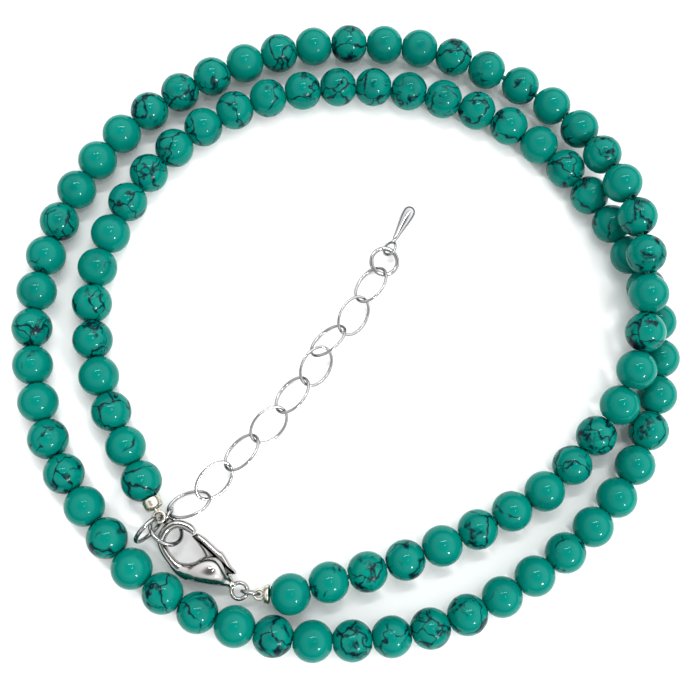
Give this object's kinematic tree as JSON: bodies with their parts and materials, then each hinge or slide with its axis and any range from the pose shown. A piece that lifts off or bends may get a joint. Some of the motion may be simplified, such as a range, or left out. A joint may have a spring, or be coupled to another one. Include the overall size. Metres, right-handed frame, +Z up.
{
  "type": "beaded necklace",
  "caption": "Strung round stone-bead necklace lying fastened in two turns, with a lobster clasp, jump rings, end cups and an extender chain that ends in a small drop.",
  "frame": {"origin": "middle of the underside of the whole necklace, on the surface it lies on", "axes": "+Z up from the surface; +X along the coil's longer way across; the clasp lies at -X -Y"},
  "size_m": [0.0724, 0.0706, 0.0085],
  "materials": {
    "stone": "polished dyed stone with darker veins",
    "silver": "polished plated metal"
  },
  "bodies": {
    "necklace": {"bead_strand_1": "stone", "bead_strand_2": "stone", "bead_strand_3": "stone", "bead_strand_4": "stone", "bead_strand_5": "stone", "bead_strand_6": "stone", "bead_strand_7": "stone", "bead_strand_8": "stone", "jump_ring_a": "silver", "clasp_ring": "silver", "extender_ring": "silver", "jump_ring_b": "silver", "extender_end_ring": "silver", "extender_link_1": "silver", "extender_link_2": "silver", "extender_link_3": "silver", "extender_link_4": "silver", "extender_link_5": "silver", "extender_link_6": "silver", "extender_link_7": "silver", "extender_link_8": "silver", "extender_link_9": "silver", "drop": "silver", "end_cup_a": "silver", "end_cup_b": "silver", "clasp_body": "silver"},
    "lever": {"clasp_lever": "silver"}
  },
  "joints": [
    {"name": "lever_hinge", "type": "hinge", "parent": "necklace", "child": "lever", "pos_m": [-0.01395, -0.0256, 0.0017], "axis": [0, 0, 1], "range_deg": [0, 25], "stiffness_Nm_per_rad": 0.002}
  ]
}
